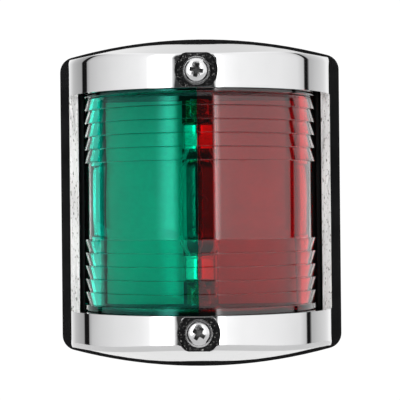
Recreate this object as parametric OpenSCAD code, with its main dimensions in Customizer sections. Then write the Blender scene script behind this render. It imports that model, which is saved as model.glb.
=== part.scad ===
// Two-colour sidelight for a small boat, surface mounted.
// The light faces -Y. Its mounting face lies on Y = 0, +Z is up, +X is to the right of the viewer.
// "Depth" is the distance in front of the mounting face, so a depth d lies at Y = -d.

/* [Base] */
// Width of the base plate
base_w = 72.6; // [72:0.1:76]
// Height of the base plate at its middle
base_h = 85; // [84.6:0.1:88]
// Thickness of the base plate
base_t = 3.5; // [3:0.1:4]
// Thickness of the gasket behind the base plate
gasket_t = 1.2; // [0.8:0.1:1.6]
// Radius of the arched top and bottom edges
arch_r = 128; // [120:1:140]
// Radius of the corners of the base plate
corner_r = 4; // [3:0.1:5]
// Distance between the mounting screw holes, sideways
mount_pitch_x = 38; // [34:1:40]
// Distance between the mounting screw holes, upwards
mount_pitch_z = 64; // [63.6:0.1:64.4]
// Diameter of the mounting screw holes
mount_d = 4; // [3.6:0.1:4.2]
// Diameter of the cable that the grommet takes
cable_d = 4.2; // [3.8:0.1:4.4]

/* [Cover] */
// Radius of the round front of the cover, seen from above
cover_r = 33.65; // [33.4:0.05:34]
// Height of the cover at its foot
cover_h = 83.7; // [83.4:0.1:83.8]
// Height of the cover at its front
cover_front_h = 70.6; // [70.6:0.1:71.4]
// Wall thickness of the cover
cover_wall = 2.3; // [2:0.1:2.4]
// Height of the window between the two bands
window_h = 54.2; // [54:0.1:54.6]
// Depth at which the side walls end inside the window
rim_d = 8; // [7.5:0.1:9]
// Diameter of the screw pockets
pocket_d = 10.3; // [9.6:0.1:10.6]
// Depth at which the floor of a screw pocket lies
pocket_floor_d = 38.8; // [38.6:0.1:39]

/* [Cover screws] */
// Height of the cover screws above and below the middle
screw_z = 31.4; // [31.3:0.1:31.7]
// Outer diameter of the screw thread
screw_d = 3.5; // [3:0.1:3.6]
// Diameter of the screw head
screw_head_d = 6.8; // [6:0.1:7.4]
// Height of the screw head
screw_head_h = 2.1; // [1.6:0.1:2.3]
// Length of a screw under its head
screw_len = 27; // [22:1:28]
// Turn of the cross in the upper head
cross_turn_upper = 10; // [0:1:90]
// Turn of the cross in the lower head
cross_turn_lower = 32; // [0:1:90]

/* [Lens] */
// Outer radius of the smooth middle of the lens
lens_r = 28.75; // [28.5:0.05:29]
// Wall thickness of the lens
lens_wall = 2.8; // [2.4:0.1:3]
// Height of the lens
lens_h = 56.2; // [56:0.1:56.4]
// Height of the middle of the smooth band
optic_z = 0.5; // [-0.5:0.1:0.7]
// Height of the smooth band
smooth_h = 19.3; // [18:0.1:20]
// Number of prism rings above and below the smooth band
ring_count = 5; // [4:1:5]
// Height of one prism ring
ring_pitch = 3.32; // [3:0.01:3.35]
// Height of the step at the edge of a prism ring
ring_step = 0.85; // [0.5:0.05:0.9]

/* [Bulb] */
// Length of the festoon bulb from tip to tip
bulb_len = 41; // [40.8:0.1:41]
// Diameter of the glass
bulb_glass_d = 10; // [9:0.1:10.5]
// Diameter of the end caps
bulb_cap_d = 8.5; // [8:0.1:8.5]
// Length of an end cap without its tip
bulb_cap_len = 6.8; // [6:0.1:7]
// Depth of the middle of the bulb
bulb_d = 17; // [16.8:0.1:18]

/* [Contacts] */
// Width of the contact blades
blade_w = 6; // [5:0.1:6.5]
// Thickness of the contact blades
blade_t = 0.45; // [0.4:0.05:0.5]
// Width of the terminal brackets
bracket_w = 7; // [6.5:0.1:8]
// Thickness of the terminal brackets
bracket_t = 0.8; // [0.6:0.1:0.8]
// Height of the terminal screws above and below the middle
terminal_z = 23.3; // [23.2:0.1:23.4]

/* [Hidden] */
$fn = 96;
cut = 0.01;
far = 200;

// Base stack
base_front_d = gasket_t + base_t;
rib_t = 1.1;
rib_h = 2;
rib_gap = 0.25;
rib_end_gap = 0.7;
rib_corner_r = 3;
gasket_inset = 0.4;
grommet_d = 6.2;
grommet_flange_d = 8.4;
grommet_flange_h = 1;
grommet_start_d = 0.3;
hole_ease = 0.3;

// Cover
turn_d = 8;
seat_gap = 0.05;
cover_back_d = base_front_d + seat_gap;
cover_front_d = turn_d + cover_r;
cover_arch_r = 134;
end_wall = 1.6;
taper = (cover_h - cover_front_h) / 2 / (cover_front_d - cover_back_d);
arch_taper = 0.125;
arch_tilt = atan(arch_taper);
pocket_floor_t = 1;
pocket_wall = 1;
pocket_edge = 0.35;
pocket_hole_d = 4.2;
pocket_end_edge = 0.35;

// Posts under the pockets
post_d = 5.2;
post_gap = 0.2;
post_front_d = pocket_floor_d - pocket_floor_t - post_gap;
post_bore_end_d = 9;
screw_fit = 0.05;

// Screw seals and heads
seal_t = 0.5;
seal_d = 6.4;
head_edge = 0.9;
screw_nose = 0.8;
screw_nose_len = 2;
cross_len = 3.7;
cross_w = 0.85;
cross_depth = 1.5;

// Reflector, carrier and lens seat
reflector_t = 0.8;
reflector_w = 50.6;
reflector_h = 50.6;
carrier_d = base_front_d + reflector_t;
carrier_t = 2.5;
carrier_w = 9;
carrier_h = 50.8;
lens_gasket_t = 1;
lens_gasket_edge = 0.1;
lens_gasket_w = 2.6;
lens_gasket_side_w = 2.9;
lens_back_d = base_front_d + lens_gasket_t;
lip_r = 29.7;
lens_roof = 1.2;

// Brackets, rivets and terminal screws
foot_d = carrier_d + carrier_t;
foot_front_d = foot_d + bracket_t;
upright_z = 19.35;
upright_end_d = 12.2;
foot_from_z = 12.5;
foot_to_z = 25.3;
foot_rivet_z = 15.5;
rivet_d = 1.6;
rivet_head_d = 2.6;
rivet_head_t = 0.6;
blade_rivet_d = 10.7;
blade_rivet_gap = 0.2;
washer_w = 4.8;
washer_t = 0.6;
terminal_d = 2.5;
screw_ease = 0.25;
terminal_head_d = 4.7;
terminal_head_h = 2;
slot_w = 0.8;
slot_depth = 0.9;
terminal_end_d = 5.8;

// Contact blades
blade_z = 19.4;
blade_start_d = 9.1;
blade_bend_d = 18.8;
blade_lead = 2;
blade_lead_angle = 25;
blade_notch_w = 2.8;
blade_hole_d = 2.4;
bend_ease = 0.1;

// Bulb
tip_len = 1.2;
tip_r = 1.1;
cap_bore_r = 3.75;
cap_bore_len = 3.4;
glass_t = 0.6;
neck_r = 3.6;
shoulder_len = 1.8;
cap_start_z = bulb_len / 2 - tip_len - bulb_cap_len;
glass_gap = 0.2;
neck_end_z = cap_start_z + cap_bore_len - glass_gap;
glass_round = 0.5;
glass_round_z = cap_start_z - 1;
glass_full_z = cap_start_z - shoulder_len - 0.4;
cap_round_r = 0.8;
cap_nose_h = 0.4;
filament_half = 8;
wire_r = 0.2;
lead_r = 0.3;

// Points of an arc of radius r about c, from angle a to angle b
function arc(c, r, a, b, steps = 12) =
    [for (i = [0 : steps]) c + r * [cos(a + (b - a) * i / steps), sin(a + (b - a) * i / steps)]];

// Height of the edge of prism ring k, counted outwards from the smooth band
function ring_z(side, k) = optic_z + side * (smooth_h / 2 + k * ring_pitch);

// Outer profile of the lens on one side of its middle, as [radius, height] from the band outwards
function lens_side(side) = concat(
    [for (k = [0 : ring_count - 1], r = [lens_r, lens_r + ring_step]) [r, ring_z(side, k)]],
    [for (r = [lens_r, lip_r]) [r, ring_z(side, ring_count)]],
    [[lip_r, side * lens_h / 2], [0, side * lens_h / 2]]
);
function reversed(list) = [for (i = [len(list) - 1 : -1 : 0]) list[i]];

// Extrudes a front-view outline from one depth to a deeper one in front of it
module from_front(near_d, to_d) {
    translate([0, -near_d, 0])
        rotate([90, 0, 0])
            linear_extrude(to_d - near_d)
                children();
}

// A round bar along Y from one depth to another
module bar_y(x, z, d, near_d, to_d) {
    translate([x, -near_d, z])
        rotate([90, 0, 0])
            cylinder(d = d, h = to_d - near_d);
}

// Front view of a plate with straight sides, arched ends and round corners
module arched_outline(w, h, arch, corner) {
    corner_x = w / 2 - corner;
    corner_y = h / 2 - arch + sqrt(pow(arch - corner, 2) - pow(corner_x, 2));
    tangent_x = corner_x * arch / (arch - corner);
    intersection() {
        square([2 * tangent_x, h], center = true);
        translate([0, h / 2 - arch]) circle(r = arch, $fn = 360);
        translate([0, arch - h / 2]) circle(r = arch, $fn = 360);
    }
    square([w, 2 * corner_y], center = true);
    for (sx = [-1, 1], sy = [-1, 1])
        translate([sx * corner_x, sy * corner_y]) circle(r = corner);
}

// Seen from above: a half circle in front with straight sides behind it
module round_front_plan(r, back_d) {
    translate([0, -turn_d]) circle(r = r, $fn = 180);
    translate([-r, -turn_d]) square([2 * r, turn_d - back_d]);
}

module round_front_prism(r, back_d, h) {
    translate([0, 0, -h / 2])
        linear_extrude(h)
            difference() {
                round_front_plan(r, back_d);
                translate([-far / 2, -back_d]) square([far, far]);
            }
}

// Seen from the side: the ends of the cover slope outwards to its foot
module end_slopes(inset) {
    back = cover_back_d - 5;
    front = cover_front_d + 5;
    back_z = cover_h / 2 - inset + taper * 5;
    front_z = back_z - taper * (front - back);
    rotate([90, 0, -90])
        linear_extrude(far, center = true)
            polygon([[back, back_z], [front, front_z], [front, -front_z], [back, -back_z]]);
}

// The arch of both ends, which slopes less than their middle
module end_arches(inset) {
    centre_z = cover_h / 2 - cover_arch_r / cos(arch_tilt);
    intersection_for(side = [-1, 1])
        translate([0, -cover_back_d, side * centre_z])
            rotate([90 + side * arch_tilt, 0, 0])
                cylinder(r = cover_arch_r - inset, h = far, center = true, $fn = 360);
}

// Centres of the four mounting holes, in the front view
module at_mount_holes() {
    for (sx = [-1, 1], sz = [-1, 1])
        translate([sx * mount_pitch_x / 2, sz * mount_pitch_z / 2]) children();
}

module mounting_gasket() {
    color("#1c1c1e")
        from_front(0, gasket_t)
            difference() {
                arched_outline(base_w - 2 * gasket_inset, base_h - 2 * gasket_inset, arch_r, corner_r);
                at_mount_holes() circle(d = mount_d);
                circle(d = grommet_d + 2 * hole_ease);
            }
}

module base_plate() {
    color("#111113")
        difference() {
            union() {
                from_front(gasket_t, base_front_d)
                    arched_outline(base_w, base_h, arch_r, corner_r);
                from_front(base_front_d - cut, base_front_d + rib_h)
                    difference() {
                        locating_outline(rib_gap);
                        locating_outline(rib_gap + rib_t);
                    }
                for (side = [-1, 1])
                    bar_y(0, side * screw_z, post_d, base_front_d - cut, post_front_d);
            }
            for (side = [-1, 1])
                bar_y(0, side * screw_z, screw_d + 2 * screw_fit, post_bore_end_d, post_front_d + 1);
            from_front(0, base_front_d + 1)
                at_mount_holes() circle(d = mount_d);
            bar_y(0, 0, grommet_d, 0, base_front_d + 1);
        }
}

// Front view of the inside of the cover's foot, smaller by a gap all round
module locating_outline(gap) {
    side = cover_r - cover_wall - gap;
    end = cover_h / 2 - end_wall - rib_end_gap - gap;
    arched_outline(2 * side, 2 * end, cover_arch_r, rib_corner_r);
}

module cable_grommet() {
    color("#2a2a2c")
        difference() {
            union() {
                bar_y(0, 0, grommet_d, grommet_start_d, foot_d + cut);
                bar_y(0, 0, grommet_flange_d, foot_d, foot_d + grommet_flange_h);
            }
            bar_y(0, 0, cable_d, 0, foot_d + grommet_flange_h + 1);
        }
}

module reflector() {
    color("#f1f1ec")
        from_front(base_front_d, base_front_d + reflector_t)
            difference() {
                square([reflector_w, reflector_h], center = true);
                circle(d = grommet_d + 2 * hole_ease);
            }
}

module contact_carrier() {
    color("#18181a")
        difference() {
            from_front(carrier_d, foot_d)
                square([carrier_w, carrier_h], center = true);
            for (side = [-1, 1]) {
                bar_y(0, side * terminal_z, terminal_d + 2 * screw_fit, carrier_d - 1, foot_d + 1);
                bar_y(0, side * foot_rivet_z, rivet_d, carrier_d - 1, foot_d + 1);
            }
            bar_y(0, 0, grommet_d + 2 * hole_ease, carrier_d - 1, foot_d + 1);
        }
}

module lens_gasket() {
    outer = 2 * (lens_r + lens_gasket_edge);
    inner = outer - 2 * lens_gasket_side_w;
    color("#242426")
        from_front(base_front_d, lens_back_d)
            difference() {
                square([outer, lens_h + 2 * lens_gasket_edge], center = true);
                square([inner, lens_h - 2 * lens_gasket_w], center = true);
            }
}

// One terminal bracket: a foot on the carrier and an upright beside the end of the bulb
module terminal_bracket(side) {
    color("#c9a44c")
        mirror([0, 0, side < 0 ? 1 : 0])
            difference() {
                union() {
                    translate([-bracket_w / 2, -foot_front_d, foot_from_z])
                        cube([bracket_w, bracket_t, foot_to_z - foot_from_z]);
                    translate([-bracket_w / 2, -upright_end_d, upright_z - bracket_t])
                        cube([bracket_w, upright_end_d - foot_d, bracket_t]);
                }
                bar_y(0, terminal_z, terminal_d + 2 * screw_ease, foot_d - 1, foot_front_d + 1);
                bar_y(0, foot_rivet_z, rivet_d, foot_d - 1, foot_front_d + 1);
                translate([0, -blade_rivet_d, upright_z - 2]) cylinder(d = rivet_d, h = 4);
            }
}

// Two rivets that hold the bracket feet to the carrier
module bracket_rivets() {
    color("#b98d45")
        for (side = [-1, 1]) {
            bar_y(0, side * foot_rivet_z, rivet_d, carrier_d, foot_front_d + cut);
            bar_y(0, side * foot_rivet_z, rivet_head_d, foot_front_d, foot_front_d + rivet_head_t);
        }
}

// Two square clamp washers under the terminal screws
module terminal_washers() {
    color("#cfd2d4")
        for (side = [-1, 1])
            difference() {
                translate([-washer_w / 2, -foot_front_d - washer_t, side * terminal_z - washer_w / 2])
                    cube([washer_w, washer_t, washer_w]);
                bar_y(0, side * terminal_z, terminal_d + 2 * screw_ease,
                    foot_front_d - 1, foot_front_d + 2);
            }
}

module terminal_screw(side) {
    head_d = foot_front_d + washer_t;
    top_d = head_d + terminal_head_h;
    color("#c8b070")
        difference() {
            union() {
                bar_y(0, side * terminal_z, terminal_d, terminal_end_d, head_d + cut);
                bar_y(0, side * terminal_z, terminal_head_d, head_d, top_d);
            }
            translate([-terminal_head_d, -top_d - 1, side * terminal_z - slot_w / 2])
                cube([2 * terminal_head_d, slot_depth + 1, slot_w]);
        }
}

// One spring blade: straight beside the bulb tip, with a notch for the tip and a lead-in at its end
module contact_blade(side) {
    lead = blade_lead * [cos(blade_lead_angle), sin(blade_lead_angle)];
    across = blade_t * [-sin(blade_lead_angle), cos(blade_lead_angle)];
    bend = [blade_bend_d, blade_z];
    color("#d9b45a")
        mirror([0, 0, side < 0 ? 1 : 0])
            difference() {
                rotate([90, 0, -90])
                    linear_extrude(blade_w, center = true)
                        polygon([
                            [blade_start_d, blade_z],
                            bend,
                            bend + lead,
                            bend + lead + across,
                            bend + across + [bend_ease, 0],
                            [blade_start_d, blade_z + blade_t]
                        ]);
                translate([-blade_notch_w / 2, -bulb_d - 10, blade_z - 1])
                    cube([blade_notch_w, 10, 4]);
                translate([0, -bulb_d, blade_z - 1]) cylinder(d = blade_notch_w, h = 4);
                translate([0, -blade_rivet_d, blade_z - 1]) cylinder(d = blade_hole_d, h = 3);
            }
}

module blade_rivet(side) {
    inner_z = upright_z - bracket_t;
    outer_z = blade_z + blade_t + blade_rivet_gap;
    color("#b98d45")
        mirror([0, 0, side < 0 ? 1 : 0])
            translate([0, -blade_rivet_d, 0]) {
                translate([0, 0, inner_z - cut]) cylinder(d = rivet_d, h = outer_z - inner_z + 2 * cut);
                translate([0, 0, outer_z]) cylinder(d = rivet_head_d, h = rivet_head_t);
                translate([0, 0, inner_z - rivet_head_t]) cylinder(d = rivet_head_d, h = rivet_head_t);
            }
}

// Half profile of the bulb glass, grown inwards by an inset
function glass_half(inset) = [
    [neck_r - inset, neck_end_z - inset],
    [neck_r - inset, cap_start_z - glass_gap],
    [bulb_glass_d / 2 - glass_round - inset, glass_round_z],
    [bulb_glass_d / 2 - inset, glass_full_z]
];
function flipped(list) = [for (p = reversed(list)) [p[0], -p[1]]];

module bulb_glass() {
    outside = concat(glass_half(0), flipped(glass_half(0)));
    inside = concat(glass_half(glass_t), flipped(glass_half(glass_t)));
    color([0.93, 0.96, 0.98, 0.45])
        translate([0, -bulb_d, 0])
            rotate_extrude()
                difference() {
                    polygon(concat([[0, neck_end_z]], outside, [[0, -neck_end_z]]));
                    polygon(concat([[0, neck_end_z - glass_t]], inside, [[0, glass_t - neck_end_z]]));
                }
}

module bulb_cap(side) {
    end_z = cap_start_z + bulb_cap_len;
    color("#d5d7d9")
        translate([0, -bulb_d, 0])
            mirror([0, 0, side < 0 ? 1 : 0])
                rotate_extrude()
                    polygon(concat(
                        [[cap_bore_r, cap_start_z], [bulb_cap_d / 2, cap_start_z]],
                        arc([bulb_cap_d / 2 - cap_round_r, end_z - cap_round_r], cap_round_r, 0, 90, 6),
                        [[tip_r, end_z], [tip_r, end_z + cap_nose_h], [tip_r / 2, end_z + tip_len]],
                        [[0, end_z + tip_len], [0, cap_start_z + cap_bore_len]],
                        [[cap_bore_r, cap_start_z + cap_bore_len]]
                    ));
}

module filament() {
    color("#8a8a8c")
        translate([0, -bulb_d, -filament_half]) cylinder(r = wire_r, h = 2 * filament_half);
}

// The two stiff wires that carry the filament, from the necks of the glass
module filament_leads() {
    color("#9c9ea2")
        for (side = [-1, 1])
            translate([0, -bulb_d, side * (filament_half + neck_end_z - glass_t) / 2])
                cylinder(r = lead_r, h = neck_end_z - glass_t - filament_half, center = true);
}

// The whole lens before it is parted at its joint: turned about an upright axis and cut off at the back
module lens_shell() {
    profile = concat(reversed(lens_side(-1)), lens_side(1));
    difference() {
        translate([0, -turn_d, 0])
            rotate_extrude($fn = 180)
                polygon(profile);
        round_front_prism(lens_r - lens_wall, lens_back_d - 1, lens_h - 2 * lens_roof);
        translate([-far / 2, -lens_back_d, -far / 2]) cube([far, far, far]);
    }
}

module lens_half(side) {
    intersection() {
        lens_shell();
        translate([side * far / 2, 0, 0]) cube([far, far, far], center = true);
    }
}

module lens_green() {
    color("#0a9b78") lens_half(-1);
}

module lens_red() {
    color("#c4232c") lens_half(1);
}

// Outer skin of the cover, or its hollow when it is made smaller by the wall
module cover_form(wall, end, back_d) {
    intersection() {
        round_front_prism(cover_r - wall, back_d, far);
        end_slopes(end);
        end_arches(end);
    }
}

module cover() {
    color("#d8d9da")
        difference() {
            union() {
                difference() {
                    cover_form(0, 0, cover_back_d);
                    cover_form(cover_wall, end_wall, cover_back_d - 1);
                }
                intersection() {
                    cover_form(0, 0, cover_back_d);
                    for (side = [-1, 1])
                        bar_y(0, side * screw_z, pocket_d + 2 * pocket_wall,
                            pocket_floor_d - pocket_floor_t, cover_front_d + 5);
                }
            }
            translate([-far / 2, -far, -window_h / 2]) cube([far, far - rim_d, window_h]);
            for (side = [-1, 1]) {
                from_front(pocket_floor_d, cover_front_d + 5)
                    pocket_outline(side);
                bar_y(0, side * screw_z, pocket_hole_d, 0, cover_front_d + 5);
            }
        }
}

// Front view of a screw pocket: round, but cut straight where it meets the edges of the band
module pocket_outline(side) {
    edge_low = window_h / 2 + pocket_edge;
    edge_high = cover_front_h / 2 - pocket_end_edge;
    intersection() {
        translate([0, side * screw_z])
            circle(d = pocket_d);
        translate([0, side * (edge_low + edge_high) / 2])
            square([2 * pocket_d, edge_high - edge_low], center = true);
    }
}

module screw_seal(side) {
    color("#303032")
        difference() {
            bar_y(0, side * screw_z, seal_d, pocket_floor_d, pocket_floor_d + seal_t);
            bar_y(0, side * screw_z, screw_d + 2 * screw_fit, pocket_floor_d - 1, pocket_floor_d + 1);
        }
}

// Pan-head screw with a cross recess; its thread fills the bore of the post
module cover_screw(side, turn) {
    head_d = pocket_floor_d + seal_t;
    rim_h = screw_head_h - head_edge;
    color("#cfd1d3")
        translate([0, -head_d, side * screw_z])
            rotate([90, 0, 0])
                difference() {
                    rotate_extrude()
                        polygon(concat(
                            [[0, -screw_len], [screw_d / 2 - screw_nose, -screw_len]],
                            [[screw_d / 2, screw_nose_len - screw_len], [screw_d / 2, 0]],
                            [[screw_head_d / 2, 0]],
                            arc([screw_head_d / 2 - head_edge, rim_h], head_edge, 0, 90, 8),
                            [[0, screw_head_h]]
                        ));
                    for (a = [0, 90])
                        rotate([0, 0, turn + a])
                            translate([-cross_len / 2, -cross_w / 2, screw_head_h - cross_depth])
                                cube([cross_len, cross_w, cross_depth + 1]);
                }
}

mounting_gasket();
base_plate();
cable_grommet();
reflector();
contact_carrier();
lens_gasket();
terminal_bracket(1);  // terminal_bracket_upper
terminal_bracket(-1);  // terminal_bracket_lower
bracket_rivets();
terminal_washers();
terminal_screw(1);  // terminal_screw_upper
terminal_screw(-1);  // terminal_screw_lower
contact_blade(1);  // contact_blade_upper
contact_blade(-1);  // contact_blade_lower
blade_rivet(1);  // blade_rivet_upper
blade_rivet(-1);  // blade_rivet_lower
bulb_glass();
bulb_cap(1);  // bulb_cap_upper
bulb_cap(-1);  // bulb_cap_lower
filament();
filament_leads();
lens_green();
lens_red();
cover();
screw_seal(1);  // screw_seal_upper
screw_seal(-1);  // screw_seal_lower
cover_screw(1, cross_turn_upper);  // cover_screw_upper
cover_screw(-1, cross_turn_lower);  // cover_screw_lower
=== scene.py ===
"""Looks of the two-colour sidelight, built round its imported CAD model.

Everything is in metres in the CAD frame: the light faces -Y and +Z is up. Sizes are written in
millimetres, and a depth d is the distance in front of the mounting face, as in the CAD source.
"""

import math

import bmesh
import bpy
from mathutils import Matrix, Vector


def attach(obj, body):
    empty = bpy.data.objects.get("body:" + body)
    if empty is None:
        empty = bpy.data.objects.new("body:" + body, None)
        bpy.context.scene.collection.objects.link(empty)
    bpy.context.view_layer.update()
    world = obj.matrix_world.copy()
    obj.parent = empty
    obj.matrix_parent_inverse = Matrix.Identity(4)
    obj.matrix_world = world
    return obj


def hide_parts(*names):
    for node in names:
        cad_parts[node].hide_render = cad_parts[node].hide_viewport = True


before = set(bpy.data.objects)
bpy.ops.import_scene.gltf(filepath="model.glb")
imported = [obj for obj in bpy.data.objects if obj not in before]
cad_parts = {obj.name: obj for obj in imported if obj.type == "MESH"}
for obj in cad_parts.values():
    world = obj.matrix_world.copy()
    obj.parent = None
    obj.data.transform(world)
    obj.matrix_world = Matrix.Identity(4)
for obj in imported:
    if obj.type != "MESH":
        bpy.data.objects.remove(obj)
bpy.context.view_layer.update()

MM = 0.001
TAU = 2 * math.pi

# Sizes shared with the CAD source, in millimetres
TURN_D = 8.0
COVER_R = 33.65
COVER_BACK_D = 4.75
COVER_FRONT_D = TURN_D + COVER_R
COVER_H = 83.7
COVER_FRONT_H = 70.6
COVER_WALL = 2.3
COVER_END_WALL = 1.6
COVER_ARCH_R = 134.0
ARCH_TAPER = 0.125
END_TAPER = (COVER_H - COVER_FRONT_H) / 2 / (COVER_FRONT_D - COVER_BACK_D)
WINDOW_HALF = 27.25
RIM_D = 8.0
POCKET_R = 5.15
POCKET_FLOOR_D = 38.8
POCKET_Z = (27.45, 37.0)
POCKET_HOLE_R = 2.1
BOSS_R = 6.15
SCREW_Z = 31.4
LENS_R = 28.95
LENS_INNER_R = 25.95
LENS_LIP_R = 29.7
LENS_HALF_H = 28.1
LENS_ROOF = 1.2
LENS_BACK_D = 5.7
OPTIC_Z = 0.5
SMOOTH_H = 19.3
RING_COUNT = 5
RING_PITCH = 3.32
RING_STEP = 0.85
BULB_D = 17.0


# ---------------------------------------------------------------- mesh helpers

EDGE_SEGMENTS = 3
KEPT_FLAT_DEG = 0.4


def point(x, d, z):
    """A point of the light in metres, from its place in millimetres."""
    return Vector((x * MM, -d * MM, z * MM))


def make_object(name, verts, faces):
    mesh = bpy.data.meshes.new(name)
    mesh.from_pydata([tuple(v) for v in verts], [], faces)
    mesh.validate()
    obj = bpy.data.objects.new(name, mesh)
    bpy.context.scene.collection.objects.link(obj)
    return obj


def add_face(faces, *corners):
    """Adds a face without the corners that are the same point, unless no area is left."""
    face = list(dict.fromkeys(corners))
    if len(face) > 2:
        faces.append(face)


def grid_faces(grid, skip):
    """The faces between neighbouring columns of points, except at the step skip."""
    faces = []
    for a, b in zip(grid, grid[1:]):
        for j in range(len(a) - 1):
            if j != skip:
                add_face(faces, a[j], b[j], b[j + 1], a[j + 1])
    return faces


def side_faces(rows, steps):
    """The sides of a tube whose points are numbered ring by ring."""
    faces = []
    for i in range(rows):
        for k in range(steps):
            n = (k + 1) % steps
            faces.append((i * steps + k, i * steps + n, (i + 1) * steps + n, (i + 1) * steps + k))
    return faces


def clean_mesh(obj, merge_mm=0.002, flat_deg=None):
    """Welds the mesh, joins faces that lie in one plane, and turns its faces outwards."""
    bm = bmesh.new()
    bm.from_mesh(obj.data)
    bmesh.ops.remove_doubles(bm, verts=bm.verts, dist=merge_mm * MM)
    if flat_deg:
        bmesh.ops.dissolve_limit(
            bm, angle_limit=math.radians(flat_deg), verts=bm.verts, edges=bm.edges
        )
    bmesh.ops.recalc_face_normals(bm, faces=bm.faces)
    bm.to_mesh(obj.data)
    bm.free()


def smooth(obj, angle=32):
    obj.data.shade_smooth()
    obj.data.set_sharp_from_angle(angle=math.radians(angle))


def edge_round(obj, width_mm, angle=34):
    """Rounds the sharp edges of a piece and keeps its flat faces flat."""
    bevel = obj.modifiers.new("rounded edges", "BEVEL")
    bevel.width = width_mm * MM
    bevel.segments = EDGE_SEGMENTS
    bevel.limit_method = "ANGLE"
    bevel.angle_limit = math.radians(angle)
    bevel.miter_outer = "MITER_ARC"
    weigh = obj.modifiers.new("face normals", "WEIGHTED_NORMAL")
    weigh.mode = "FACE_AREA_WITH_ANGLE"
    weigh.weight = 80
    weigh.keep_sharp = True
    obj.data.shade_smooth()


def apply_boolean(obj, cutter, operation):
    """Cuts, or joins, one closed mesh with another and removes the second."""
    modifier = obj.modifiers.new("cut", "BOOLEAN")
    modifier.operation = operation
    modifier.object = cutter
    modifier.solver = "EXACT"
    bpy.context.view_layer.update()
    depsgraph = bpy.context.evaluated_depsgraph_get()
    mesh = bpy.data.meshes.new_from_object(obj.evaluated_get(depsgraph))
    obj.modifiers.clear()
    obj.data = mesh
    bpy.data.objects.remove(cutter)


def join(name, parts):
    """One object from several, which may stay separate shells."""
    bm = bmesh.new()
    for part in parts:
        bm.from_mesh(part.data)
        bpy.data.objects.remove(part)
    mesh = bpy.data.meshes.new(name)
    bm.to_mesh(mesh)
    bm.free()
    obj = bpy.data.objects.new(name, mesh)
    bpy.context.scene.collection.objects.link(obj)
    return obj


def prism(name, outline, back_d, front_d):
    """A closed prism from a front-view outline of (x, z) points, between two depths."""
    count = len(outline)
    verts = [point(x, d, z) for d in (back_d, front_d) for x, z in outline]
    ends = [range(count), range(count, 2 * count)]
    obj = make_object(name, verts, ends + side_faces(1, count))
    clean_mesh(obj)
    return obj


def circle_outline(x, z, r, count, low, high):
    """Points of a circle, cut straight at a lowest and a highest z."""
    points = []
    for i in range(count):
        a = TAU * (i + 0.5) / count
        points.append((x + r * math.cos(a), z + r * math.sin(a)))
    for level, keep_above in ((low, True), (high, False)):
        kept = []
        for i, p in enumerate(points):
            q = points[(i + 1) % len(points)]
            inside = (p[1] >= level) == keep_above
            if inside:
                kept.append(p)
            if inside != ((q[1] >= level) == keep_above):
                t = (level - p[1]) / (q[1] - p[1])
                kept.append((p[0] + t * (q[0] - p[0]), level))
        points = kept
    return points


def lathe(name, profile, place, axis="Z", steps=64):
    """Turns a profile of (radius, height) in millimetres about Z, or -Y, through a place."""
    turn = Matrix.Identity(3)
    if axis == "-Y":
        turn = Matrix(((1, 0, 0), (0, 0, -1), (0, 1, 0)))
    verts, rings = [], []
    for r, h in profile:
        if r < 1e-6:
            rings.append([len(verts)] * steps)
            verts.append(place + turn @ Vector((0, 0, h * MM)))
            continue
        rings.append(list(range(len(verts), len(verts) + steps)))
        for k in range(steps):
            a = TAU * k / steps
            local = Vector((r * MM * math.cos(a), r * MM * math.sin(a), h * MM))
            verts.append(place + turn @ local)
    faces = []
    for lower, upper in zip(rings, rings[1:]):
        for k in range(steps):
            n = (k + 1) % steps
            add_face(faces, lower[k], lower[n], upper[n], upper[k])
    obj = make_object(name, verts, faces)
    clean_mesh(obj)
    return obj


def arc(cx, cz, r, start, end, steps):
    """Points (radius, height) of an arc, angles in degrees."""
    angles = [math.radians(start + (end - start) * i / steps) for i in range(steps + 1)]
    return [(cx + r * math.cos(a), cz + r * math.sin(a)) for a in angles]


def smooth_path(points, steps):
    """A curve through the points, in short pieces."""
    path = []
    for i in range(len(points) - 1):
        p0, p1 = points[max(i - 1, 0)], points[i]
        p2, p3 = points[i + 1], points[min(i + 2, len(points) - 1)]
        for k in range(steps):
            t = k / steps
            a = 2 * p1 + (p2 - p0) * t
            b = (2 * p0 - 5 * p1 + 4 * p2 - p3) * t * t
            c = (3 * p1 - p0 - 3 * p2 + p3) * t ** 3
            path.append((a + b + c) / 2)
    return path + [points[-1]]


def tube(name, path, radius_mm, steps):
    """A round wire along a path of points in metres, with closed ends."""
    verts = []
    side = Vector((1, 0, 0))
    for i, p in enumerate(path):
        ahead = path[min(i + 1, len(path) - 1)] - path[max(i - 1, 0)]
        ahead.normalize()
        side = side - ahead * side.dot(ahead)
        side = side.normalized() if side.length > 1e-6 else ahead.orthogonal().normalized()
        up = ahead.cross(side)
        for k in range(steps):
            a = TAU * k / steps
            verts.append(p + (side * math.cos(a) + up * math.sin(a)) * radius_mm * MM)
    ends = [range(steps), range(len(verts) - steps, len(verts))]
    obj = make_object(name, verts, side_faces(len(path) - 1, steps) + ends)
    clean_mesh(obj, merge_mm=0.0005)
    smooth(obj, 50)
    return obj


def refined(node, name, edge_mm):
    """A copy of a CAD node with clean faces and softly rounded edges."""
    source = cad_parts[node]
    obj = bpy.data.objects.new(name, source.data.copy())
    bpy.context.scene.collection.objects.link(obj)
    obj.data.materials.clear()
    bm = bmesh.new()
    bm.from_mesh(obj.data)
    for layer in list(bm.loops.layers.uv):
        bm.loops.layers.uv.remove(layer)
    bm.to_mesh(obj.data)
    bm.free()
    if obj.data.has_custom_normals:
        obj.data.attributes.remove(obj.data.attributes["custom_normal"])
    clean_mesh(obj, merge_mm=0.003, flat_deg=KEPT_FLAT_DEG)
    edge_round(obj, edge_mm)
    return obj


# ---------------------------------------------------------------- material helpers

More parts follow.
